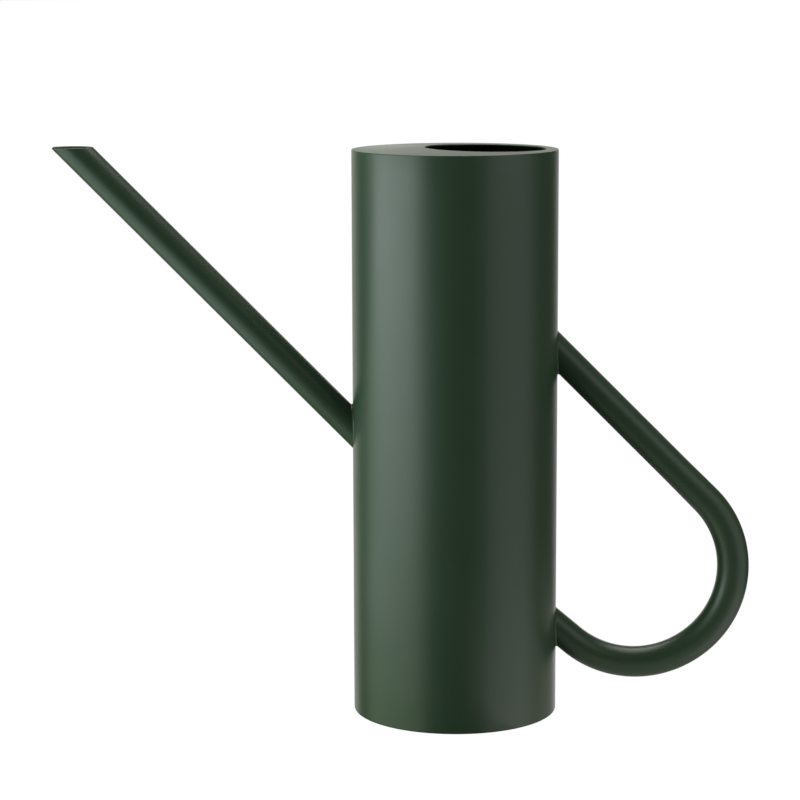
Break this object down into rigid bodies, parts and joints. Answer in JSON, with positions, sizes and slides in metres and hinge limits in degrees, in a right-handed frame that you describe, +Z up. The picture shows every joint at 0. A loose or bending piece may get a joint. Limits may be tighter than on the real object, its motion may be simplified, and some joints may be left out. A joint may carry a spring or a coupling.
{
  "type": "watering can",
  "caption": "Slim metal watering can with a tall round body, an off-centre fill hole, a straight slanted spout and a looped tube handle.",
  "frame": {"origin": "on the body's axis, in the plane of the flat underside that the can stands on", "axes": "+Z up along the body's axis, -X towards the spout, +X towards the handle; the plane y = 0 halves the can"},
  "size_m": [0.3472, 0.102, 0.2841],
  "materials": {
    "powder_coat": "satin dark green powder coat over steel, with a very fine orange peel"
  },
  "bodies": {
    "root": {"body_tube": "powder_coat", "top_plate": "powder_coat", "base_plate": "powder_coat", "spout_tube": "powder_coat", "handle_tube": "powder_coat", "top_seam_weld": "powder_coat", "base_seam_weld": "powder_coat", "spout_weld": "powder_coat", "handle_upper_weld": "powder_coat", "handle_lower_weld": "powder_coat"}
  },
  "joints": []
}
